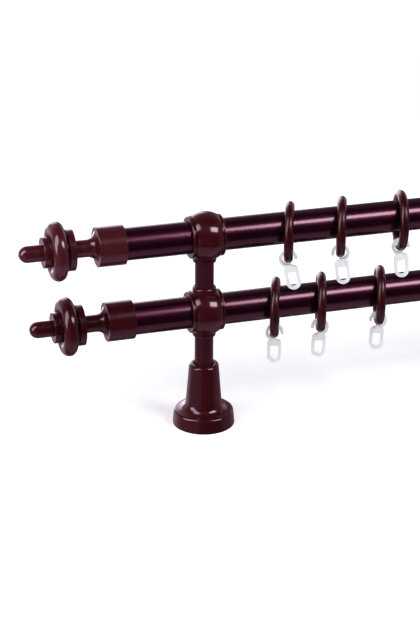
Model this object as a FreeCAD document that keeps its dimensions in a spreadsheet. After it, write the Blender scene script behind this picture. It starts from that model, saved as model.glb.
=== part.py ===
import FreeCAD, Part
import math
import os
import Sketcher

# Double curtain pole on two wall brackets, in millimetres.
# X runs along the poles, Z runs away from the wall, and the wall is at Z = 0.
# The lower pole is the one nearer to the wall.

SIZES = [
    # poles
    ("pole_diameter", "28"),
    ("pole_wall", "0.8"),
    ("pole_length", "1200"),
    ("pole_overhang", "88"),
    ("pole_stagger", "6.8"),
    ("first_pole_height", "107"),
    ("pole_spacing", "69.2"),
    ("pole_clearance", "0.3"),
    # finial sleeve, with its flare and neck
    ("sleeve_diameter", "34.2"),
    ("sleeve_length", "23.8"),
    ("sleeve_depth", "19.8"),
    ("neck_diameter", "15"),
    ("neck_length", "19.9"),
    ("flare_rise", "5.8"),
    ("flare_radius", "9"),
    ("spigot_diameter", "10"),
    ("spigot_length", "12"),
    ("spigot_clearance", "0.1"),
    # finial knob
    ("disc_diameter", "35.5"),
    ("disc_width", "5.6"),
    ("groove_diameter", "28"),
    ("bead_diameter", "51"),
    ("bead_section_diameter", "12.6"),
    ("bead_place", "13.9"),
    ("collar_diameter", "26.5"),
    ("collar_end", "26.1"),
    ("tip_diameter", "14.4"),
    ("knob_length", "46.1"),
    ("finial_edge", "0.5"),
    # holders
    ("ball_diameter", "42.8"),
    ("ball_edge_diameter", "36.8"),
    ("ball_width", "22.6"),
    ("step_diameter", "34.6"),
    ("step_width", "1.3"),
    ("flange_diameter", "36.4"),
    ("flange_width", "1.9"),
    ("flange_edge", "0.8"),
    ("socket_collar_diameter", "20.6"),
    ("socket_collar_height", "23.2"),
    ("socket_collar_edge", "1.7"),
    ("socket_floor", "17.5"),
    ("post_clearance", "0.2"),
    # posts, plugs and screws
    ("post_diameter", "16.4"),
    ("post_wall", "1.2"),
    ("plug_length", "12"),
    ("plug_clearance", "0.05"),
    ("post_screw_diameter", "5"),
    ("post_screw_head_diameter", "9.5"),
    ("post_screw_length", "12"),
    ("screw_clearance", "0.15"),
    ("grub_diameter", "4"),
    ("grub_clearance", "0.05"),
    ("grub_socket_diameter", "2.2"),
    ("grub_socket_depth", "2"),
    ("pole_screw_length", "6"),
    ("hub_screw_length", "5"),
    # wall plate and base cover
    ("plate_thickness", "3"),
    ("plate_clearance", "0.3"),
    ("hub_diameter", "21"),
    ("hub_height", "20"),
    ("hub_screw_height", "12"),
    ("wall_hole_diameter", "4.6"),
    ("wall_hole_circle", "36"),
    ("wall_hole_count", "3"),
    ("cover_diameter", "55"),
    ("cover_wall", "2"),
    ("cover_shoulder_diameter", "53.2"),
    ("cover_shoulder_height", "10.7"),
    ("cover_edge_radius", "2.5"),
    ("cover_flare_radius", "8.5"),
    ("cover_cone_base_diameter", "31.6"),
    ("cover_cone_top_diameter", "26.4"),
    ("cover_height", "57"),
    ("cover_lip_radius", "2.6"),
    ("cover_hole_diameter", "18.6"),
    # rings and hooks
    ("ring_diameter", "54"),
    ("ring_wire_diameter", "8"),
    ("hang_gap", "0.3"),
    ("hook_thickness", "3"),
    ("clip_inner_diameter", "10.8"),
    ("clip_wall", "2.6"),
    ("clip_lower_end", "285"),
    ("clip_upper_end", "350"),
    ("eye_width", "12.4"),
    ("eye_top", "6.9"),
    ("eye_bottom", "28.9"),
    ("eye_corner_radius", "4"),
    ("eye_web", "6"),
    ("eye_wall", "2.6"),
    ("eye_hole_corner_radius", "1.2"),
    ("upper_hook_shift", "22"),
    ("lower_hook_shift", "0"),
    ("upper_clip_drop", "-0.15"),
    ("lower_clip_drop", "1.1"),
]

# Values that follow from the sizes above.
DERIVED = [
    ("bracket_place", "=pole_length / 2 - pole_overhang"),
    ("half_stagger", "=pole_stagger / 2"),
    ("second_pole_height", "=first_pole_height + pole_spacing"),
    ("half_pole", "=pole_length / 2"),
    ("pole_radius", "=pole_diameter / 2"),
    ("pole_bore_radius", "=pole_radius - pole_wall"),
    ("sleeve_radius", "=sleeve_diameter / 2"),
    ("sleeve_bore_radius", "=pole_radius + pole_clearance"),
    ("shoulder_place", "=sleeve_length - sleeve_depth"),
    ("neck_radius", "=neck_diameter / 2"),
    ("flare_top", "=neck_radius + flare_rise"),
    ("flare_end", "=shoulder_place + sqrt(flare_radius^2 - (flare_radius - flare_rise)^2)"),
    ("neck_end", "=shoulder_place + neck_length"),
    ("spigot_radius", "=spigot_diameter / 2"),
    ("spigot_end", "=neck_end + spigot_length"),
    ("knob_socket_radius", "=spigot_radius + spigot_clearance"),
    ("knob_socket_depth", "=spigot_length + spigot_clearance"),
    ("disc_radius", "=disc_diameter / 2"),
    ("groove_radius", "=groove_diameter / 2"),
    ("bead_radius", "=bead_diameter / 2"),
    ("bead_section", "=bead_section_diameter / 2"),
    ("bead_circle", "=bead_radius - bead_section"),
    ("collar_radius", "=collar_diameter / 2"),
    ("bead_start", "=bead_place - sqrt(bead_section^2 - (bead_circle - groove_radius)^2)"),
    ("bead_end", "=bead_place + sqrt(bead_section^2 - (bead_circle - collar_radius)^2)"),
    ("tip_radius", "=tip_diameter / 2"),
    ("tip_shoulder", "=knob_length - tip_radius"),
    ("ball_radius", "=ball_diameter / 2"),
    ("ball_half", "=ball_width / 2"),
    ("ball_edge_radius", "=ball_edge_diameter / 2"),
    ("ball_crown", "=ball_radius - ball_edge_radius"),
    ("ball_curve", "=(ball_half^2 + ball_crown^2) / (2 * ball_crown)"),
    ("step_radius", "=step_diameter / 2"),
    ("step_end", "=ball_half + step_width"),
    ("flange_radius", "=flange_diameter / 2"),
    ("flange_end", "=step_end + flange_width"),
    ("holder_bore_radius", "=pole_radius + pole_clearance"),
    ("socket_collar_radius", "=socket_collar_diameter / 2"),
    ("post_radius", "=post_diameter / 2"),
    ("post_bore_radius", "=post_radius - post_wall"),
    ("socket_radius", "=post_radius + post_clearance"),
    ("socket_mouth", "=socket_collar_height + post_clearance"),
    ("plug_radius", "=post_bore_radius - plug_clearance"),
    ("post_screw_radius", "=post_screw_diameter / 2"),
    ("plug_hole_radius", "=post_screw_radius + plug_clearance"),
    ("post_screw_head_radius", "=post_screw_head_diameter / 2"),
    ("post_screw_head_height", "=post_screw_head_radius - post_screw_radius"),
    ("countersink_radius", "=post_screw_head_radius + screw_clearance"),
    ("countersink_start", "=holder_bore_radius - countersink_radius"),
    ("countersink_end", "=holder_bore_radius + post_screw_head_height"),
    ("screw_hole_radius", "=post_screw_radius + screw_clearance"),
    ("grub_radius", "=grub_diameter / 2"),
    ("grub_hole_radius", "=grub_radius + grub_clearance"),
    ("grub_socket_radius", "=grub_socket_diameter / 2"),
    ("pole_screw_start", "=pole_radius + grub_clearance"),
    ("hub_screw_start", "=post_radius + grub_clearance"),
    ("hub_radius", "=hub_diameter / 2"),
    ("cover_radius", "=cover_diameter / 2"),
    ("cover_inner_radius", "=cover_radius - cover_wall"),
    ("wall_hole_radius", "=wall_hole_diameter / 2"),
    ("wall_hole_place", "=wall_hole_circle / 2"),
    ("wall_hole_depth", "=4 * plate_thickness"),
    ("cover_shoulder_radius", "=cover_shoulder_diameter / 2"),
    ("cover_draft", "=(cover_radius - cover_shoulder_radius) / cover_shoulder_height"),
    ("plate_radius", "=cover_inner_radius - plate_clearance - plate_thickness * cover_draft"),
    ("cover_deck_radius", "=cover_shoulder_radius - cover_edge_radius"),
    ("cover_deck_height", "=cover_shoulder_height + cover_edge_radius"),
    ("cover_cone_base_radius", "=cover_cone_base_diameter / 2"),
    ("cover_cone_base_height", "=cover_deck_height + cover_flare_radius"),
    ("cover_cone_top_radius", "=cover_cone_top_diameter / 2"),
    ("cover_lip_height", "=cover_height - cover_lip_radius"),
    ("cover_lip_inner_radius", "=cover_cone_top_radius - cover_lip_radius"),
    ("cover_hole_radius", "=cover_hole_diameter / 2"),
    ("cover_ceiling_height", "=cover_height - cover_wall"),
    ("cover_cone_top_inner_radius", "=cover_cone_top_radius - cover_wall"),
    ("cover_cone_base_inner_radius", "=cover_cone_base_radius - cover_wall"),
    ("cover_flare_inner_radius", "=cover_flare_radius + cover_wall"),
    ("cover_shoulder_inner_radius", "=cover_shoulder_radius - cover_wall"),
    ("cover_shoulder_inner_height", "=cover_deck_height - cover_wall"),
    ("ring_wire_radius", "=ring_wire_diameter / 2"),
    ("ring_circle", "=ring_diameter / 2 - ring_wire_radius"),
    ("ring_drop", "=ring_circle - ring_wire_radius - hang_gap - pole_radius"),
    ("clip_inner_radius", "=clip_inner_diameter / 2"),
    ("clip_outer_radius", "=clip_inner_radius + clip_wall"),
    ("clip_upper_inner_x", "=clip_inner_radius * cos(clip_upper_end * 1deg)"),
    ("clip_upper_inner_z", "=clip_inner_radius * sin(clip_upper_end * 1deg)"),
    ("clip_upper_outer_x", "=clip_outer_radius * cos(clip_upper_end * 1deg)"),
    ("clip_upper_outer_z", "=clip_outer_radius * sin(clip_upper_end * 1deg)"),
    ("clip_lower_inner_x", "=clip_inner_radius * cos(clip_lower_end * 1deg)"),
    ("clip_lower_inner_z", "=clip_inner_radius * sin(clip_lower_end * 1deg)"),
    ("clip_lower_outer_x", "=clip_outer_radius * cos(clip_lower_end * 1deg)"),
    ("clip_lower_outer_z", "=clip_outer_radius * sin(clip_lower_end * 1deg)"),
    ("eye_half", "=eye_width / 2"),
    ("eye_corner_half", "=eye_half - eye_corner_radius"),
    ("eye_corner_low", "=eye_top + eye_corner_radius"),
    ("eye_round_start", "=eye_bottom - eye_half"),
    ("eye_hole_half", "=eye_half - eye_wall"),
    ("eye_hole_top", "=eye_top + eye_web"),
    ("eye_hole_corner_half", "=eye_hole_half - eye_hole_corner_radius"),
    ("eye_hole_corner_low", "=eye_hole_top + eye_hole_corner_radius"),
    ("eye_hole_bottom", "=eye_bottom - eye_wall"),
    ("eye_hole_round_start", "=eye_hole_bottom - eye_hole_half"),
]

# The rings at the left end of each pole: place along X from the bracket, turn about Z in degrees,
# tilt of the hook in degrees and the side of the hook's closed back. The right end mirrors them.
RINGS = {
    "upper": [("76.7", "-21", "13.5", "left"), ("125.1", "-21", "8", "right"), ("181.1", "-14", "5", "left")],
    "lower": [("65.4", "-21", "0", "left"), ("108.2", "-18", "-2", "right"), ("164.2", "-18", "-2", "right")],
}

doc = FreeCAD.newDocument("double_curtain_pole")
sheet = doc.addObject("Spreadsheet::Sheet", "Sizes")
UP = FreeCAD.Vector(0, 0, 1)
ALONG = FreeCAD.Vector(1, 0, 0)
BACK = FreeCAD.Vector(0, 1, 0)
parts = []


def fill_sheet(entries):
    """Write the names and values of all cells."""
    for row, (alias, text) in enumerate(entries, 1):
        sheet.set("A%d" % row, alias)
        sheet.set("B%d" % row, text)
        sheet.setAlias("B%d" % row, alias)


def size(cell):
    """The value of a cell; a leading minus turns its sign, and 0 is the origin."""
    if cell == 0:
        return 0.0
    if cell.startswith("-"):
        return -float(sheet.get(cell[1:]))
    return float(sheet.get(cell))


def link(cell):
    """The expression that reads a cell."""
    if cell.startswith("-"):
        return "-Sizes." + cell[1:]
    return "Sizes." + cell


def keep(part, label):
    """Count an object as a piece of the product."""
    part.Label = label
    parts.append(part)


def new_body(name):
    return doc.addObject("PartDesign::Body", name)


def new_sketch(body, role):
    """An empty sketch on one of the body's own planes."""
    plane = [feature for feature in body.Origin.OriginFeatures if feature.Role == role][0]
    sketch = body.newObject("Sketcher::SketchObject", body.Name + "_sketch")
    sketch.AttachmentSupport = (plane, [""])
    sketch.MapMode = "FlatFace"
    return sketch


def bend(start, end, radius, side):
    """The shorter arc between two points; its centre lies to the left of the way for side 1."""
    chord = end - start
    half = chord.Length / 2
    left = FreeCAD.Vector(-chord.y, chord.x, 0).normalize()
    rise = math.sqrt(max(radius * radius - half * half, 0.0))
    centre = start + chord * 0.5 + left * (side * rise)
    middle = centre - left * (side * radius)
    return Part.Arc(start, middle, end)


def tie(sketch, edge, end, x, y):
    """Hold one end of an edge at the place that two cells give."""
    for kind, cell in (("DistanceX", x), ("DistanceY", y)):
        rule = Sketcher.Constraint(kind, -1, 1, edge, end, size(cell))
        index = sketch.addConstraint(rule)
        if cell != 0:
            sketch.setExpression("Constraints[%d]" % index, link(cell))


def outline(sketch, corners):
    """A closed outline; a corner is (x, y) or, at the end of an arc, (x, y, radius, side)."""
    points = [FreeCAD.Vector(size(corner[0]), size(corner[1]), 0) for corner in corners]
    first = sketch.GeometryCount
    ends = []
    for index, corner in enumerate(corners):
        start, end = points[index - 1], points[index]
        if len(corner) == 2:
            sketch.addGeometry(Part.LineSegment(start, end))
            ends.append((1, 2))
        else:
            sketch.addGeometry(bend(start, end, size(corner[2]), corner[3]))
            ends.append((1, 2) if corner[3] > 0 else (2, 1))
    for index in range(len(corners)):
        after = (index + 1) % len(corners)
        joint = (first + index, ends[index][1], first + after, ends[after][0])
        sketch.addConstraint(Sketcher.Constraint("Coincident", *joint))
    for index, corner in enumerate(corners):
        tie(sketch, first + index, ends[index][1], corner[0], corner[1])
        if len(corner) > 2:
            rule = Sketcher.Constraint("Radius", first + index, size(corner[2]))
            number = sketch.addConstraint(rule)
            sketch.setExpression("Constraints[%d]" % number, link(corner[2]))


def turn(body, corners, axis, kind="Revolution", plane="XZ_Plane"):
    """Turn an outline about the sketch's H_Axis or V_Axis, to add to the body or to cut from it."""
    sketch = new_sketch(body, plane)
    outline(sketch, corners)
    feature = body.newObject("PartDesign::" + kind, body.Name + "_turned")
    feature.Profile = sketch
    feature.ReferenceAxis = (sketch, [axis])
    feature.Angle = 360
    doc.recompute()


def round_rims(body, rims, radius):
    """Round the circular edges at the given (place, radius) cells along the body's X or Z axis."""
    base = body.Tip
    names = []
    for number, edge in enumerate(base.Shape.Edges, 1):
        if edge.Degenerated or not isinstance(edge.Curve, Part.Circle):
            continue
        centre = edge.Curve.Center
        for axis, place, rim in rims:
            along = centre.x if axis == "x" else centre.z
            if abs(along - size(place)) < 1e-4 and abs(edge.Curve.Radius - size(rim)) < 1e-4:
                names.append("Edge%d" % number)
    fillet = body.newObject("PartDesign::Fillet", body.Name + "_rims")
    fillet.Base = (base, names)
    fillet.setExpression("Radius", link(radius))
    doc.recompute()


def place(part, x="0", y="0", z="0", rotation=None):
    """Set where a piece stands, with its coordinates tied to the sheet."""
    part.Placement.Rotation = rotation or FreeCAD.Rotation()
    for letter, text in (("x", x), ("y", y), ("z", z)):
        part.setExpression("Placement.Base." + letter, text)
    return part


def tube(name, inner, outer, low, high):
    """A tube along Z from cells for its two radii and its two ends."""
    body = new_body(name)
    turn(body, [(inner, low), (outer, low), (outer, high), (inner, high)], "V_Axis")
    return body


def pole(label, x, z):
    body = new_body(label)
    corners = [
        ("-half_pole", "pole_bore_radius"),
        ("half_pole", "pole_bore_radius"),
        ("half_pole", "pole_radius"),
        ("-half_pole", "pole_radius"),
    ]
    turn(body, corners, "H_Axis")
    keep(place(body, x, "0", z), label)


def finial_sleeve(name):
    """Sleeve over the end of a pole, with its flare, neck and spigot; X = 0 is the pole's end."""
    body = new_body(name)
    corners = [
        (0, 0),
        (0, "sleeve_bore_radius"),
        ("-sleeve_depth", "sleeve_bore_radius"),
        ("-sleeve_depth", "sleeve_radius"),
        ("shoulder_place", "sleeve_radius"),
        ("shoulder_place", "flare_top"),
        ("flare_end", "neck_radius", "flare_radius", 1),
        ("neck_end", "neck_radius"),
        ("neck_end", "spigot_radius"),
        ("spigot_end", "spigot_radius"),
        ("spigot_end", 0),
    ]
    turn(body, corners, "H_Axis")
    rims = [("x", "-sleeve_depth", "sleeve_radius"), ("x", "shoulder_place", "sleeve_radius")]
    round_rims(body, rims, "finial_edge")
    return body


def finial_knob(name):
    """Disc, bead, collar and tip in one piece; X = 0 is the face that meets the neck."""
    body = new_body(name)
    corners = [
        (0, "knob_socket_radius"),
        (0, "disc_radius"),
        ("disc_width", "disc_radius"),
        ("disc_width", "groove_radius"),
        ("bead_start", "groove_radius"),
        ("bead_place", "bead_radius", "bead_section", -1),
        ("bead_end", "collar_radius", "bead_section", -1),
        ("collar_end", "collar_radius"),
        ("collar_end", "tip_radius"),
        ("tip_shoulder", "tip_radius"),
        ("knob_length", 0, "tip_radius", -1),
        ("knob_socket_depth", 0),
        ("knob_socket_depth", "knob_socket_radius"),
    ]
    turn(body, corners, "H_Axis")
    rims = [("x", "disc_width", "disc_radius"), ("x", "collar_end", "collar_radius")]
    round_rims(body, rims, "finial_edge")
    return body


def finial(pole_name, side, pole_x, pole_z):
    """The sleeve and knob at one end of a pole."""
    sign = "-" if side == "left" else "+"
    rotation = FreeCAD.Rotation(UP, 180 if side == "left" else 0)
    end = "%s %s Sizes.half_pole" % (pole_x, sign)
    stem = "%s_%s_finial_" % (pole_name, side)
    sleeve = finial_sleeve(stem + "sleeve")
    keep(place(sleeve, end, "0", pole_z, rotation), stem + "sleeve")
    knob = finial_knob(stem + "knob")
    keep(place(knob, "%s %s Sizes.neck_end" % (end, sign), "0", pole_z, rotation), stem + "knob")


def holder(name, both_ways):
    """Ball with flanges and a bore for the pole along X, and one or two sockets for posts along Z."""
    body = new_body(name)
    half = [
        ("ball_half", "step_radius"),
        ("step_end", "step_radius"),
        ("step_end", "flange_radius"),
        ("flange_end", "flange_radius"),
        ("flange_end", 0),
    ]
    other_half = [("-" + x, radius) for x, radius in reversed(half)]
    ball = [("-ball_half", "ball_edge_radius"), ("ball_half", "ball_edge_radius", "ball_curve", -1)]
    turn(body, other_half + ball + half, "H_Axis")
    rims = []
    for end in ("flange_end", "step_end", "-flange_end", "-step_end"):
        rims.append(("x", end, "flange_radius"))
    round_rims(body, rims, "flange_edge")
    low = "-socket_collar_height" if both_ways else 0
    collar = [(0, low), ("socket_collar_radius", low)]
    collar += [("socket_collar_radius", "socket_collar_height"), (0, "socket_collar_height")]
    turn(body, collar, "V_Axis")
    mouths = ["socket_collar_height", "-socket_collar_height"] if both_ways else ["socket_collar_height"]
    round_rims(body, [("z", mouth, "socket_collar_radius") for mouth in mouths], "socket_collar_edge")
    bore = [("-flange_end", 0), ("-flange_end", "holder_bore_radius")]
    bore += [("flange_end", "holder_bore_radius"), ("flange_end", 0)]
    turn(body, bore, "H_Axis", "Groove")
    for sign in ("", "-") if both_ways else ("",):
        socket = [
            (0, sign + "countersink_start"),
            ("countersink_radius", sign + "countersink_start"),
            ("countersink_radius", sign + "holder_bore_radius"),
            ("screw_hole_radius", sign + "countersink_end"),
            ("screw_hole_radius", sign + "socket_floor"),
            ("socket_radius", sign + "socket_floor"),
            ("socket_radius", sign + "socket_mouth"),
            (0, sign + "socket_mouth"),
        ]
        turn(body, socket, "V_Axis", "Groove")
    grub_hole = [(0, "pole_bore_radius"), ("grub_hole_radius", "pole_bore_radius")]
    grub_hole += [("grub_hole_radius", "ball_radius"), (0, "ball_radius")]
    turn(body, grub_hole, "V_Axis", "Groove", "XY_Plane")
    return body


def wall_plate(label, x):
    """Plate on the wall with a hub for the lower post and a circle of screw holes."""
    body = new_body(label + "_turned")
    corners = [
        (0, 0),
        ("plate_radius", 0),
        ("plate_radius", "plate_thickness"),
        ("hub_radius", "plate_thickness"),
        ("hub_radius", "hub_height"),
        ("socket_radius", "hub_height"),
        ("socket_radius", "plate_thickness"),
        (0, "plate_thickness"),
    ]
    turn(body, corners, "V_Axis")
    sketch = new_sketch(body, "XY_Plane")
    centre = FreeCAD.Vector(size("wall_hole_place"), 0, 0)
    sketch.addGeometry(Part.Circle(centre, UP, size("wall_hole_radius")))
    tie(sketch, 0, 3, "wall_hole_place", 0)
    rule = sketch.addConstraint(Sketcher.Constraint("Radius", 0, size("wall_hole_radius")))
    sketch.setExpression("Constraints[%d]" % rule, link("wall_hole_radius"))
    hole = body.newObject("PartDesign::Pocket", label + "_hole")
    hole.Profile = sketch
    hole.SideType = "Symmetric"
    hole.setExpression("Length", link("wall_hole_depth"))
    doc.recompute()
    circle = body.newObject("PartDesign::PolarPattern", label + "_holes")
    circle.Originals = [hole]
    circle.Axis = (sketch, ["N_Axis"])
    circle.Angle = 360
    circle.setExpression("Occurrences", link("wall_hole_count"))
    body.Tip = circle
    doc.recompute()
    bore = doc.addObject("Part::Cylinder", label + "_screw_hole")
    bore.setExpression("Radius", link("grub_hole_radius"))
    bore.setExpression("Height", link("hub_radius"))
    bore.Placement.Rotation = FreeCAD.Rotation(ALONG, -90)
    bore.setExpression("Placement.Base.z", link("hub_screw_height"))
    plate = doc.addObject("Part::Cut", label + "_cut")
    plate.Base = body
    plate.Tool = bore
    keep(place(plate, x), label)


def base_cover(label, x):
    """Bell over the wall plate, open below, with a hole for the post."""
    body = new_body(label)
    corners = [
        ("cover_inner_radius", 0),
        ("cover_radius", 0),
        ("cover_shoulder_radius", "cover_shoulder_height"),
        ("cover_deck_radius", "cover_deck_height", "cover_edge_radius", 1),
        ("cover_cone_base_radius", "cover_cone_base_height", "cover_flare_radius", -1),
        ("cover_cone_top_radius", "cover_lip_height"),
        ("cover_lip_inner_radius", "cover_height", "cover_lip_radius", 1),
        ("cover_hole_radius", "cover_height"),
        ("cover_hole_radius", "cover_ceiling_height"),
        ("cover_cone_top_inner_radius", "cover_ceiling_height"),
        ("cover_cone_base_inner_radius", "cover_cone_base_height"),
        ("cover_shoulder_inner_radius", "cover_shoulder_inner_height", "cover_flare_inner_radius", 1),
    ]
    turn(body, corners, "V_Axis")
    keep(place(body, x), label)


def grub_screw(name, length):
    """Headless screw along Z with a hexagon socket in its far end."""
    shank = doc.addObject("Part::Cylinder", name + "_shank")
    shank.setExpression("Radius", link("grub_radius"))
    shank.setExpression("Height", link(length))
    socket = doc.addObject("Part::Prism", name + "_socket")
    socket.Polygon = 6
    socket.setExpression("Circumradius", link("grub_socket_radius"))
    socket.setExpression("Height", link("grub_socket_depth"))
    socket.setExpression("Placement.Base.z", "%s - Sizes.grub_socket_depth" % link(length))
    screw = doc.addObject("Part::Cut", name)
    screw.Base = shank
    screw.Tool = socket
    return screw


def post_screw(name):
    """Countersunk screw along Z, head at Z = 0."""
    body = new_body(name)
    corners = [
        (0, 0),
        ("post_screw_head_radius", 0),
        ("post_screw_radius", "post_screw_head_height"),
        ("post_screw_radius", "post_screw_length"),
        (0, "post_screw_length"),
    ]
    turn(body, corners, "V_Axis")
    return body


def group(label, members):
    compound = doc.addObject("Part::Compound", label)
    compound.Links = members
    keep(compound, label)


def bracket(side, x):
    """Everything that one wall bracket is made of."""
    first, second = "Sizes.first_pole_height", "Sizes.second_pole_height"
    over = FreeCAD.Rotation(BACK, 180)
    rearward = FreeCAD.Rotation(ALONG, -90)
    stem = side + "_"
    wall_plate(stem + "wall_plate", x)
    base_cover(stem + "base_cover", x)
    keep(place(holder(stem + "middle_holder", True), x, "0", first), stem + "middle_holder")
    keep(place(holder(stem + "end_holder", False), x, "0", second, over), stem + "end_holder")
    for name, low, high in (
        ("lower_post", "Sizes.plate_thickness", first + " - Sizes.socket_floor"),
        ("upper_post", first + " + Sizes.socket_floor", second + " - Sizes.socket_floor"),
    ):
        post = doc.addObject("Part::Cut", stem + name)
        for role, radius in (("Base", "post_radius"), ("Tool", "post_bore_radius")):
            solid = doc.addObject("Part::Cylinder", stem + name + "_" + role.lower())
            solid.setExpression("Radius", link(radius))
            solid.setExpression("Height", "%s - (%s)" % (high, low))
            setattr(post, role, solid)
        keep(place(post, x, "0", low), stem + name)
    plugs = []
    screws = []
    for number, (seat, down) in enumerate(((first, True), (first, False), (second, True)), 1):
        sign = "-" if down else "+"
        plug = tube(stem + "plug_%d" % number, "plug_hole_radius", "plug_radius", 0, "plug_length")
        screw = post_screw(stem + "screw_%d" % number)
        spin = over if down else FreeCAD.Rotation()
        plugs.append(place(plug, x, "0", "%s %s Sizes.socket_floor" % (seat, sign), spin))
        screws.append(place(screw, x, "0", "%s %s Sizes.holder_bore_radius" % (seat, sign), spin))
    group(stem + "post_plugs", plugs)
    group(stem + "post_screws", screws)
    grubs = []
    for number, seat in enumerate((first, second), 1):
        grub = grub_screw(stem + "pole_screw_%d" % number, "pole_screw_length")
        grubs.append(place(grub, x, link("pole_screw_start"), seat, rearward))
    group(stem + "pole_screws", grubs)
    hub_screw = grub_screw(stem + "socket_screw", "hub_screw_length")
    place(hub_screw, x, link("hub_screw_start"), link("hub_screw_height"), rearward)
    keep(hub_screw, stem + "socket_screw")


def thicken(body, outlines):
    """Pad outlines in the XZ plane to the thickness of a hook, half to each side."""
    sketch = new_sketch(body, "XZ_Plane")
    for corners in outlines:
        outline(sketch, corners)
    pad = body.newObject("PartDesign::Pad", body.Name + "_pad")
    pad.Profile = sketch
    pad.SideType = "Symmetric"
    pad.setExpression("Length", link("hook_thickness"))
    doc.recompute()


def slot(half, top, corner_half, corner_low, corner_radius, round_start, bottom):
    """Outline of an upright slot with small corners above and a half round below."""
    return [
        ("-" + corner_half, "-" + top),
        ("-" + half, "-" + corner_low, corner_radius, 1),
        ("-" + half, "-" + round_start),
        (0, "-" + bottom, half, 1),
        (half, "-" + round_start, half, 1),
        (half, "-" + corner_low),
        (corner_half, "-" + top, corner_radius, 1),
    ]


def hook_body(name):
    """Flat clip hook in the XZ plane: an open clip round the origin and an eye below it."""
    body = new_body(name)
    eye = slot("eye_half", "eye_top", "eye_corner_half", "eye_corner_low",
               "eye_corner_radius", "eye_round_start", "eye_bottom")
    hole = slot("eye_hole_half", "eye_hole_top", "eye_hole_corner_half", "eye_hole_corner_low",
                "eye_hole_corner_radius", "eye_hole_round_start", "eye_hole_bottom")
    thicken(body, [eye, hole])
    clip = [
        ("clip_upper_inner_x", "clip_upper_inner_z", "clip_inner_radius", -1),
        ("clip_upper_outer_x", "clip_upper_outer_z"),
        (0, "clip_outer_radius", "clip_outer_radius", 1),
        ("-clip_outer_radius", 0, "clip_outer_radius", 1),
        ("clip_lower_outer_x", "clip_lower_outer_z", "clip_outer_radius", 1),
        ("clip_lower_inner_x", "clip_lower_inner_z"),
        ("-clip_inner_radius", 0, "clip_inner_radius", -1),
        (0, "clip_inner_radius", "clip_inner_radius", -1),
    ]
    thicken(body, [clip])
    return body


def ring_and_hook(pole_name, number, cells, back, mirror):
    """One ring on its pole, and the clip hook that hangs from it."""
    sign = -1 if mirror else 1
    x = sign * (size(cells + "place") - size("bracket_place"))
    z = size({"lower": "first_pole_height", "upper": "second_pole_height"}[pole_name])
    turned = FreeCAD.Rotation(UP, sign * size(cells + "turn"))
    stand = FreeCAD.Placement(FreeCAD.Vector(x, 0, z - size("ring_drop")), turned)
    ring = doc.addObject("Part::Torus", "%s_ring_%d" % (pole_name, number))
    ring.setExpression("Radius1", link("ring_circle"))
    ring.setExpression("Radius2", link("ring_wire_radius"))
    upright = FreeCAD.Rotation(BACK, 90)
    ring.Placement = stand * FreeCAD.Placement(FreeCAD.Vector(), upright)
    keep(ring, ring.Name)
    hook = hook_body("%s_hook_%d" % (pole_name, number))
    shift = math.radians(size(pole_name + "_hook_shift"))
    circle = size("ring_circle")
    wire = FreeCAD.Vector(0, -circle * math.sin(shift), -circle * math.cos(shift))
    tilted = FreeCAD.Rotation(BACK, -sign * size(cells + "tilt"))
    faced = FreeCAD.Rotation(UP, 180 if (back == "right") != mirror else 0)
    hung = FreeCAD.Placement(FreeCAD.Vector(0, 0, -size(pole_name + "_clip_drop")), faced)
    hook.Placement = stand * FreeCAD.Placement(wire, tilted) * hung
    keep(hook, hook.Name)


def write_parts():
    """Check every object, then write one file for each piece."""
    failed = [item.Name for item in doc.Objects if {"Invalid", "Error"} & set(item.State)]
    for part in parts:
        if part.Shape.isNull() or not part.Shape.isValid():
            failed.append(part.Label)
    if failed:
        raise RuntimeError("failed: " + ", ".join(failed))
    os.makedirs("parts", exist_ok=True)
    for part in parts:
        part.Shape.exportStep("parts/%s.step" % part.Label)


ring_sizes = []
for pole_name, rings in RINGS.items():
    for number, (along, turned, tilted, back) in enumerate(rings, 1):
        cells = "%s_ring_%d_" % (pole_name, number)
        ring_sizes += [(cells + "place", along), (cells + "turn", turned), (cells + "tilt", tilted)]
fill_sheet(SIZES + ring_sizes + DERIVED)
doc.recompute()

for pole_name, pole_x, pole_z in (
    ("lower", "Sizes.half_stagger", "Sizes.first_pole_height"),
    ("upper", "-Sizes.half_stagger", "Sizes.second_pole_height"),
):
    pole(pole_name + "_pole", pole_x, pole_z)
    for side in ("left", "right"):
        finial(pole_name, side, pole_x, pole_z)
bracket("left", "-Sizes.bracket_place")
bracket("right", "Sizes.bracket_place")
for pole_name, rings in RINGS.items():
    for number, entry in enumerate(rings, 1):
        cells = "%s_ring_%d_" % (pole_name, number)
        ring_and_hook(pole_name, number, cells, entry[3], False)
        ring_and_hook(pole_name, 2 * len(rings) + 1 - number, cells, entry[3], True)
doc.recompute()
write_parts()
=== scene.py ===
"""Looks of the double curtain pole: finishes, moulding marks, studio and camera."""
import math

import bmesh
import bpy
from mathutils import Matrix, Vector
from mathutils.bvhtree import BVHTree


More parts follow.
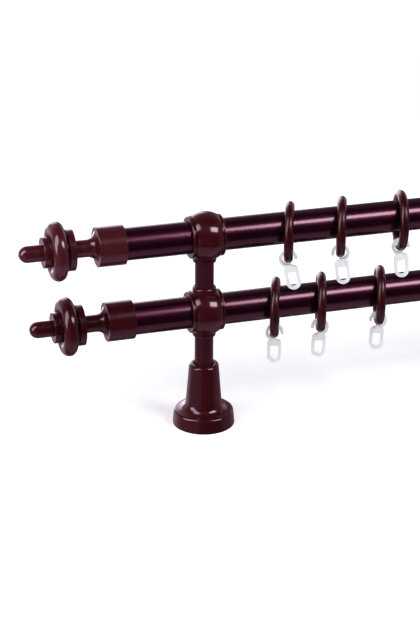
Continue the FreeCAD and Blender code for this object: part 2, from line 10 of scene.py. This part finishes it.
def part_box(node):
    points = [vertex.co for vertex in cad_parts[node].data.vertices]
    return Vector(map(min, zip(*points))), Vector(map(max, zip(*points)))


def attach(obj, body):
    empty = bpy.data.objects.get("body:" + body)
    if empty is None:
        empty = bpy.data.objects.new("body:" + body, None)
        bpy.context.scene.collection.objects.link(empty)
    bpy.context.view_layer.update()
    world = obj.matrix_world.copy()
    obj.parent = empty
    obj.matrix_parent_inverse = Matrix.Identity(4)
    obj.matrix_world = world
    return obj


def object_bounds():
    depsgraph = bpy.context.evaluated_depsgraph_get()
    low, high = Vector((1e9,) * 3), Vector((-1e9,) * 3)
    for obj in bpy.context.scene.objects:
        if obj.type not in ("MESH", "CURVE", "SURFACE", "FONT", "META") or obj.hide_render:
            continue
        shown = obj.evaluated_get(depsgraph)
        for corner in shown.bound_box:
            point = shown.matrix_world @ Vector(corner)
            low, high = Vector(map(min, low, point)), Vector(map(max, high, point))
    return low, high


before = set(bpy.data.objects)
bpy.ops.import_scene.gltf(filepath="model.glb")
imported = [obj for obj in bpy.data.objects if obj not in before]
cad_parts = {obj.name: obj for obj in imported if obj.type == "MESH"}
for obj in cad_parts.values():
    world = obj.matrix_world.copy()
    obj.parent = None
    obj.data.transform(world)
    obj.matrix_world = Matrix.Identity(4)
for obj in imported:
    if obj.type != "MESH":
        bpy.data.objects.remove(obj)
cad_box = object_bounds()

UP = Vector((0, 0, 1))
ALONG_POLES = Vector((1, 0, 0))

# Camera: place in metres, directions in degrees, lens in millimetres
CAMERA_PLACE = Vector((-0.92555, -1.3282, 0.70144))
CAMERA_AZIMUTH = 17.504
CAMERA_DROP = 23.285
CAMERA_ROLL = 0.414
CAMERA_LENS = 99.45
CAMERA_NEAREST = 0.01

# Softboxes: direction from the studio's centre, and width and height as seen from there, in degrees
STUDIO_CENTRE = Vector((-0.46, 0.0, 0.14))
SOFTBOX_DISTANCE = 2.4
SOFTBOX_TINT = (0.95, 0.95, 1.0)
RIGHT_SOFTBOX = {"azimuth": 42, "elevation": 40, "width": 30, "height": 18, "radiance": 12.5}
LEFT_SOFTBOX = {"azimuth": -79, "elevation": 31, "width": 66, "height": 28, "radiance": 6.0}

# Floor: it glows where it is seen, less near the object than far off, with distances in metres
FLOOR_HALF = 12.0
FLOOR_DROP = 0.0002
FLOOR_COLOUR = (0.86, 0.86, 0.86, 1)
FLOOR_GLOW_NEAR = 0.42
FLOOR_GLOW_FAR = 0.9
FLOOR_GLOW_REACH = (0.7, 2.2)

# Studio: the backdrop as it is seen, the even light on everything, and the tints of bright and dim parts
BACKDROP_COLOUR = (1, 1, 1, 1)
FILL_LIGHT = 0.22
STUDIO_TINT = (0.97, 0.91, 1.0, 1)
ROOM_TINT = (1.0, 0.7, 0.92, 1)

# The room in reflections: brightness of each part, and the direction components over which it sets in
ROOM_LIGHT = 0.03
BELOW_LIGHT = 0.42
BELOW_HEIGHT = (-0.5, -0.68)
BELOW_DEPTH = (0.25, 0.05)
WALL_LIGHT = 0.18
WALL_DEPTH = (0.1, 0.7)
CORNER_LIGHT = 0.45
CORNER_SIDE = (0.05, -0.15)
CORNER_DEPTH = (0.5, 0.8)
LEFT_LIGHT = 0.22
LEFT_SIDE = (-0.35, -0.7)
LEFT_TOP = (0.25, 0.0)
RIGHT_LIGHT = 0.2
RIGHT_SIDE = (0.6, 0.95)
RIM_LIGHT = 0.6
RIM_SIDE = (0.5, 0.68)
RIM_DEPTH = (0.15, 0.45)
RIM_BOTTOM = (-0.15, 0.0)
RIM_TOP = (0.55, 0.4)
CEILING_LIGHT = 0.16
CEILING_SIDE = (0.3, 0.1)
CEILING_DEPTH = (-0.1, -0.4)
CEILING_BOTTOM = (0.5, 0.72)
CEILING_TOP = (0.97, 0.88)
BACKDROP_LIGHT = 3.2
BACKDROP_LEFT = (-0.27, -0.19)
BACKDROP_RIGHT = (0.36, 0.14)
BACKDROP_DEPTH = (0.15, 0.5)
BACKDROP_BOTTOM = (-0.36, -0.2)
BACKDROP_TOP = (0.54, 0.42)

# Moulding marks: fine raised rings, each at an angle from the front and a height, in degrees and metres
MARK_WIDTH = 0.001
MARK_RELIEF = 0.0003
MARK_STEPS = 48
MARK_REACH = 0.05
COVER_MARK = {"azimuth": -4.5, "height": 0.0283, "radius": 0.0031}
HOLDER_MARK = {"azimuth": -1.4, "height": 0.1763, "radius": 0.0006}

# Most values of a noise texture lie between these two
NOISE_LOW = 0.3
NOISE_HIGH = 0.7


def fresh_tree(owner):
    """The empty node tree of a new material or world."""
    owner.use_nodes = True
    owner.node_tree.nodes.clear()
    return owner.node_tree


def add_object(name, data):
    """A new object in the scene for a mesh, a lamp or a camera."""
    added = bpy.data.objects.new(name, data)
    bpy.context.scene.collection.objects.link(added)
    return added


def towards(azimuth, elevation):
    """A direction from the object: azimuth 0 is the front, and the right is positive."""
    turn = math.radians(azimuth)
    rise = math.radians(elevation)
    return Vector((math.sin(turn) * math.cos(rise), -math.cos(turn) * math.cos(rise), math.sin(rise)))


class Finish:
    """A material and its node tree, with short ways to add the nodes that the finishes share."""

    def __init__(self, name):
        self.material = bpy.data.materials.new(name)
        self.tree = fresh_tree(self.material)
        self.shader = self.tree.nodes.new("ShaderNodeBsdfPrincipled")
        output = self.tree.nodes.new("ShaderNodeOutputMaterial")
        self.join(self.shader.outputs["BSDF"], output.inputs["Surface"])
        self.place = self.tree.nodes.new("ShaderNodeTexCoord").outputs["Object"]

    def join(self, source, target):
        self.tree.links.new(source, target)

    def set(self, **values):
        """Sets shader inputs by their names, with underscores for spaces."""
        for name, value in values.items():
            self.shader.inputs[name.replace("_", " ")].default_value = value

    def noise(self, scale, detail, stretch=(1, 1, 1)):
        """Noise in the object's own place, drawn out along an axis where its stretch is small."""
        mapping = self.tree.nodes.new("ShaderNodeMapping")
        mapping.inputs["Scale"].default_value = stretch
        self.join(self.place, mapping.inputs["Vector"])
        node = self.tree.nodes.new("ShaderNodeTexNoise")
        node.inputs["Scale"].default_value = scale
        node.inputs["Detail"].default_value = detail
        self.join(mapping.outputs["Vector"], node.inputs["Vector"])
        return node.outputs["Fac"]

    def colour(self, noise, dark, light):
        """Lets the base colour go from dark to light with a noise."""
        node = self.tree.nodes.new("ShaderNodeValToRGB")
        low, high = node.color_ramp.elements
        low.position = NOISE_LOW
        low.color = (*dark, 1)
        high.position = NOISE_HIGH
        high.color = (*light, 1)
        self.join(noise, node.inputs["Fac"])
        self.join(node.outputs["Color"], self.shader.inputs["Base Color"])

    def roughness(self, noise, low, high):
        """Lets the roughness go from low to high with a noise."""
        node = self.tree.nodes.new("ShaderNodeMapRange")
        node.inputs["From Min"].default_value = NOISE_LOW
        node.inputs["From Max"].default_value = NOISE_HIGH
        node.inputs["To Min"].default_value = low
        node.inputs["To Max"].default_value = high
        self.join(noise, node.inputs["Value"])
        self.join(node.outputs["Result"], self.shader.inputs["Roughness"])

    def bump(self, noise, depth, strength):
        """Raises the surface a little with a noise."""
        node = self.tree.nodes.new("ShaderNodeBump")
        node.inputs["Distance"].default_value = depth
        node.inputs["Strength"].default_value = strength
        self.join(noise, node.inputs["Height"])
        self.join(node.outputs["Normal"], self.shader.inputs["Normal"])


def pole_film():
    """Dark plum metallic film on the poles, with fine streaks along the tube under a clear gloss."""
    film = Finish("film")
    streaks = film.noise(scale=520, detail=4, stretch=(0.03, 1, 1))
    film.colour(streaks, dark=(0.044, 0.0026, 0.0150), light=(0.068, 0.0040, 0.0235))
    film.roughness(streaks, low=0.27, high=0.34)
    film.bump(film.noise(scale=700, detail=3, stretch=(0.4, 1, 1)), depth=0.00005, strength=0.3)
    film.set(Metallic=0.93, Specular_Tint=(0.45, 0.28, 0.38, 1))
    film.set(Coat_Weight=0.72, Coat_Roughness=0.19, Coat_IOR=1.55)
    return film.material


def post_lacquer():
    """Satin red-brown lacquer on the posts."""
    lacquer = Finish("lacquer")
    mottle = lacquer.noise(scale=240, detail=3)
    lacquer.colour(mottle, dark=(0.027, 0.0022, 0.0044), light=(0.039, 0.0032, 0.0064))
    lacquer.roughness(mottle, low=0.27, high=0.36)
    lacquer.bump(lacquer.noise(scale=1500, detail=2), depth=0.00004, strength=0.3)
    lacquer.set(IOR=1.5, Specular_IOR_Level=0.4, Specular_Tint=(1.0, 0.78, 0.86, 1))
    return lacquer.material


def brown_plastic(name, dark, light, gloss, shine):
    """Red-brown moulded plastic with a faint ripple: two colours, a range of roughness, and shine."""
    plastic = Finish(name)
    plastic.colour(plastic.noise(scale=60, detail=2), dark, light)
    plastic.roughness(plastic.noise(scale=90, detail=2), *gloss)
    plastic.bump(plastic.noise(scale=90, detail=1), depth=0.00015, strength=0.08)
    plastic.set(IOR=1.5, Specular_IOR_Level=shine, Specular_Tint=(1.0, 0.74, 0.84, 1))
    return plastic.material


def clear_plastic():
    """Milky translucent plastic of the clip hooks."""
    milk = Finish("clear_plastic")
    milk.colour(milk.noise(scale=300, detail=3), dark=(0.87, 0.88, 0.885), light=(0.925, 0.925, 0.92))
    milk.roughness(milk.noise(scale=700, detail=2), low=0.3, high=0.42)
    milk.bump(milk.noise(scale=900, detail=2), depth=0.00005, strength=0.2)
    milk.set(IOR=1.45, Transmission_Weight=0.15)
    return milk.material


def steel():
    """Zinc plated steel of the screws, plugs and wall plates."""
    zinc = Finish("steel")
    grain = zinc.noise(scale=900, detail=4, stretch=(1, 1, 0.15))
    zinc.colour(grain, dark=(0.46, 0.46, 0.47), light=(0.60, 0.60, 0.60))
    zinc.roughness(grain, low=0.26, high=0.42)
    zinc.bump(grain, depth=0.00004, strength=0.2)
    zinc.set(Metallic=1.0)
    return zinc.material


def plastic_finishes():
    """The plastic of each kind of piece, by words in the node's name; the lower finials get painted shade:
    a darker, less shiny copy of the finial plastic.
    """
    return {
        # Painted shade: the lower finials are the same moulding as the upper ones; their darker colour and
        # lower shine stand for the shade they sit in.
        "lower_finial": brown_plastic(
            "lower_finial_painted_shade", dark=(0.024, 0.0020, 0.0028), light=(0.030, 0.0026, 0.0036),
            gloss=(0.14, 0.18), shine=0.5),
        "finial": brown_plastic(
            "finial_plastic", dark=(0.044, 0.0056, 0.0084), light=(0.054, 0.0070, 0.0106),
            gloss=(0.14, 0.18), shine=0.7),
        "ring": brown_plastic(
            "ring_plastic", dark=(0.021, 0.0005, 0.0011), light=(0.027, 0.0008, 0.0016),
            gloss=(0.24, 0.3), shine=0.44),
        "bracket": brown_plastic(
            "bracket_plastic", dark=(0.026, 0.0020, 0.0029), light=(0.034, 0.0027, 0.0039),
            gloss=(0.13, 0.18), shine=0.65),
    }


def dress_nodes():
    """Gives each CAD node the finish of its material slot, or the plastic of its kind of piece."""
    finishes = {
        "film": pole_film(),
        "lacquer": post_lacquer(),
        "clear_plastic": clear_plastic(),
        "steel": steel(),
    }
    plastics = plastic_finishes()
    for name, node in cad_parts.items():
        slots = node.data.materials
        packed = slots[0].name.split(".")[0]
        kinds = [kind for kind in plastics if all(word in name for word in kind.split("_"))]
        plastic = plastics[kinds[0] if kinds else "bracket"]
        slots.clear()
        slots.append(finishes.get(packed, plastic))


def moulding_mark(node, azimuth, height, radius):
    """A fine raised ring on the round side of a node, laid on its surface by rays."""
    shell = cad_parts[node].data
    surface = BVHTree.FromPolygons([vertex.co for vertex in shell.vertices],
                                   [face.vertices for face in shell.polygons])
    low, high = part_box(node)
    middle = (low + high) / 2
    out = towards(azimuth, 0)
    spot, normal = surface.ray_cast(Vector((middle.x, middle.y, height)) + MARK_REACH * out, -out)[:2]
    across = UP.cross(normal).normalized()
    rise = normal.cross(across)
    section = [(-MARK_WIDTH / 2, -MARK_RELIEF), (-MARK_WIDTH / 4, MARK_RELIEF),
               (MARK_WIDTH / 4, MARK_RELIEF), (MARK_WIDTH / 2, -MARK_RELIEF)]
    ring = bmesh.new()
    rows = []
    for step in range(MARK_STEPS):
        angle = 2 * math.pi * step / MARK_STEPS
        ray = math.cos(angle) * across + math.sin(angle) * rise
        row = []
        for reach, lift in section:
            start = spot + (radius + reach) * ray + MARK_REACH * normal
            foot = surface.ray_cast(start, -normal)[0]
            row.append(ring.verts.new(foot + lift * normal))
        rows.append(row)
    for row, following in zip(rows, rows[1:] + rows[:1]):
        for side in range(len(section)):
            ring.faces.new((row[side - 1], row[side], following[side], following[side - 1]))
    bmesh.ops.recalc_face_normals(ring, faces=ring.faces)
    mesh = bpy.data.meshes.new(f"{node}_mark")
    ring.to_mesh(mesh)
    ring.free()
    mesh.materials.append(shell.materials[0])
    mark = add_object(f"{node}_mark", mesh)
    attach(mark, "frame")


def softbox(name, azimuth, elevation, width, height, radiance):
    """An even panel of light, square to the poles, that spans width by height degrees from the object."""
    lamp = bpy.data.lights.new(name, "AREA")
    lamp.shape = "RECTANGLE"
    lamp.size = 2 * SOFTBOX_DISTANCE * math.tan(math.radians(width) / 2)
    lamp.size_y = 2 * SOFTBOX_DISTANCE * math.tan(math.radians(height) / 2)
    lamp.energy = radiance * math.pi * lamp.size * lamp.size_y
    lamp.color = SOFTBOX_TINT
    back = towards(azimuth, elevation)
    rise = back.cross(ALONG_POLES).normalized()
    rotation = Matrix((rise.cross(back), rise, back)).transposed().to_4x4()
    panel = add_object(name, lamp)
    panel.matrix_world = Matrix.Translation(STUDIO_CENTRE + SOFTBOX_DISTANCE * back) @ rotation
    panel.visible_camera = False


def math_node(tree, operation, first, second):
    """A math node; each input is an output to link or a plain number."""
    node = tree.nodes.new("ShaderNodeMath")
    node.operation = operation
    for socket, value in zip(node.inputs, (first, second)):
        if isinstance(value, float):
            socket.default_value = value
        else:
            tree.links.new(value, socket)
    return node.outputs[0]


def slope(tree, value, start, end):
    """Rises smoothly from 0 to 1 as a value goes from start to end."""
    node = tree.nodes.new("ShaderNodeMapRange")
    node.interpolation_type = "SMOOTHSTEP"
    node.inputs["From Min"].default_value = start
    node.inputs["From Max"].default_value = end
    tree.links.new(value, node.inputs["Value"])
    return node.outputs["Result"]


def in_view(tree, path):
    """1 where something is seen straight on or through plastic, else 0."""
    return math_node(tree, "MAXIMUM", path.outputs["Is Camera Ray"], path.outputs["Is Transmission Ray"])


def joined(tree, kind, *sources):
    """A shader node of a kind that joins its sources, in the order of its inputs."""
    node = tree.nodes.new(kind)
    for source, socket in zip(sources, node.inputs):
        tree.links.new(source, socket)
    return node.outputs[0]


def background(tree, colour, strength):
    """Light from all around, with one colour and a linked strength."""
    node = tree.nodes.new("ShaderNodeBackground")
    node.inputs["Color"].default_value = colour
    tree.links.new(strength, node.inputs["Strength"])
    return node.outputs[0]


def room_part(tree, light, limits):
    """A part of the mirrored room: its brightness inside all of its limits, with soft edges."""
    for component, (start, end) in limits:
        light = math_node(tree, "MULTIPLY", slope(tree, component, start, end), light)
    return light


def mirrored_room(tree):
    """What gloss shows: a dim room, paler below, above and at the sides, and a white backdrop behind."""
    split = tree.nodes.new("ShaderNodeSeparateXYZ")
    tree.links.new(tree.nodes.new("ShaderNodeTexCoord").outputs["Generated"], split.inputs[0])
    side, depth, height = split.outputs
    parts = [
        (BELOW_LIGHT, [(height, BELOW_HEIGHT), (depth, BELOW_DEPTH)]),
        (WALL_LIGHT, [(depth, WALL_DEPTH)]),
        (CORNER_LIGHT, [(side, CORNER_SIDE), (depth, CORNER_DEPTH)]),
        (LEFT_LIGHT, [(side, LEFT_SIDE), (height, LEFT_TOP)]),
        (RIGHT_LIGHT, [(side, RIGHT_SIDE)]),
        (RIM_LIGHT, [(side, RIM_SIDE), (depth, RIM_DEPTH), (height, RIM_BOTTOM), (height, RIM_TOP)]),
        (CEILING_LIGHT, [(side, CEILING_SIDE), (depth, CEILING_DEPTH),
                         (height, CEILING_BOTTOM), (height, CEILING_TOP)]),
    ]
    backdrop = [(side, BACKDROP_LEFT), (side, BACKDROP_RIGHT), (depth, BACKDROP_DEPTH),
                (height, BACKDROP_BOTTOM), (height, BACKDROP_TOP)]
    dim = ROOM_LIGHT
    for light, limits in parts:
        dim = math_node(tree, "ADD", room_part(tree, light, limits), dim)
    return dim, room_part(tree, BACKDROP_LIGHT, backdrop)


def floor_paint():
    """Pale paint that glows where it is seen, and less near the object, where its shadow falls."""
    material = bpy.data.materials.new("floor")
    tree = fresh_tree(material)
    paint = tree.nodes.new("ShaderNodeBsdfDiffuse")
    paint.inputs["Color"].default_value = FLOOR_COLOUR
    away = tree.nodes.new("ShaderNodeVectorMath")
    away.operation = "LENGTH"
    tree.links.new(tree.nodes.new("ShaderNodeTexCoord").outputs["Object"], away.inputs[0])
    far = slope(tree, away.outputs["Value"], *FLOOR_GLOW_REACH)
    added = math_node(tree, "MULTIPLY", far, FLOOR_GLOW_FAR - FLOOR_GLOW_NEAR)
    strength = math_node(tree, "ADD", added, FLOOR_GLOW_NEAR)
    seen = in_view(tree, tree.nodes.new("ShaderNodeLightPath"))
    glow = tree.nodes.new("ShaderNodeEmission")
    tree.links.new(math_node(tree, "MULTIPLY", seen, strength), glow.inputs["Strength"])
    surface = joined(tree, "ShaderNodeAddShader", paint.outputs[0], glow.outputs[0])
    tree.links.new(surface, tree.nodes.new("ShaderNodeOutputMaterial").inputs["Surface"])
    return material


def make_floor():
    """A plain floor just under the object, which gloss doesn't show."""
    corners = [(-FLOOR_HALF, -FLOOR_HALF, 0), (FLOOR_HALF, -FLOOR_HALF, 0),
               (FLOOR_HALF, FLOOR_HALF, 0), (-FLOOR_HALF, FLOOR_HALF, 0)]
    mesh = bpy.data.meshes.new("floor")
    mesh.from_pydata(corners, [], [(0, 1, 2, 3)])
    mesh.materials.append(floor_paint())
    floor = add_object("floor", mesh)
    floor.location.z = cad_box[0].z - FLOOR_DROP
    floor.visible_glossy = False


def make_world():
    """A dim room with even light, and a white backdrop where it is seen straight on or through plastic."""
    world = bpy.data.worlds.new("studio")
    bpy.context.scene.world = world
    tree = fresh_tree(world)
    path = tree.nodes.new("ShaderNodeLightPath")
    glossy = path.outputs["Is Glossy Ray"]
    dim, bright = mirrored_room(tree)
    room_light = math_node(tree, "MULTIPLY", dim, glossy)
    fill = math_node(tree, "MULTIPLY", math_node(tree, "SUBTRACT", 1.0, glossy), FILL_LIGHT)
    studio_light = math_node(tree, "ADD", math_node(tree, "MULTIPLY", bright, glossy), fill)
    room = background(tree, ROOM_TINT, room_light)
    studio = background(tree, STUDIO_TINT, studio_light)
    surroundings = joined(tree, "ShaderNodeAddShader", room, studio)
    backdrop = tree.nodes.new("ShaderNodeBackground")
    backdrop.inputs["Color"].default_value = BACKDROP_COLOUR
    seen = in_view(tree, path)
    choice = joined(tree, "ShaderNodeMixShader", seen, surroundings, backdrop.outputs[0])
    tree.links.new(choice, tree.nodes.new("ShaderNodeOutputWorld").inputs["Surface"])


def make_camera():
    """A camera that looks down on the left half of the object from the front left."""
    turn = math.radians(CAMERA_AZIMUTH)
    drop = math.radians(CAMERA_DROP)
    roll = math.radians(CAMERA_ROLL)
    ahead = Vector((math.sin(turn) * math.cos(drop), math.cos(turn) * math.cos(drop), -math.sin(drop)))
    level = Vector((math.cos(turn), -math.sin(turn), 0))
    upright = level.cross(ahead)
    right = math.cos(roll) * level + math.sin(roll) * upright
    up = math.cos(roll) * upright - math.sin(roll) * level
    data = bpy.data.cameras.new("camera")
    data.lens = CAMERA_LENS
    data.clip_start = CAMERA_NEAREST
    camera = add_object("camera", data)
    rotation = Matrix((right, up, -ahead)).transposed().to_4x4()
    camera.matrix_world = Matrix.Translation(CAMERA_PLACE) @ rotation
    bpy.context.scene.camera = camera


dress_nodes()
for bracket in ("left", "right"):
    moulding_mark(f"{bracket}_base_cover", **COVER_MARK)
    moulding_mark(f"{bracket}_end_holder", **HOLDER_MARK)
make_floor()
make_world()
softbox("right_softbox", **RIGHT_SOFTBOX)
softbox("left_softbox", **LEFT_SOFTBOX)
make_camera()
bpy.context.scene.view_settings.view_transform = "Standard"
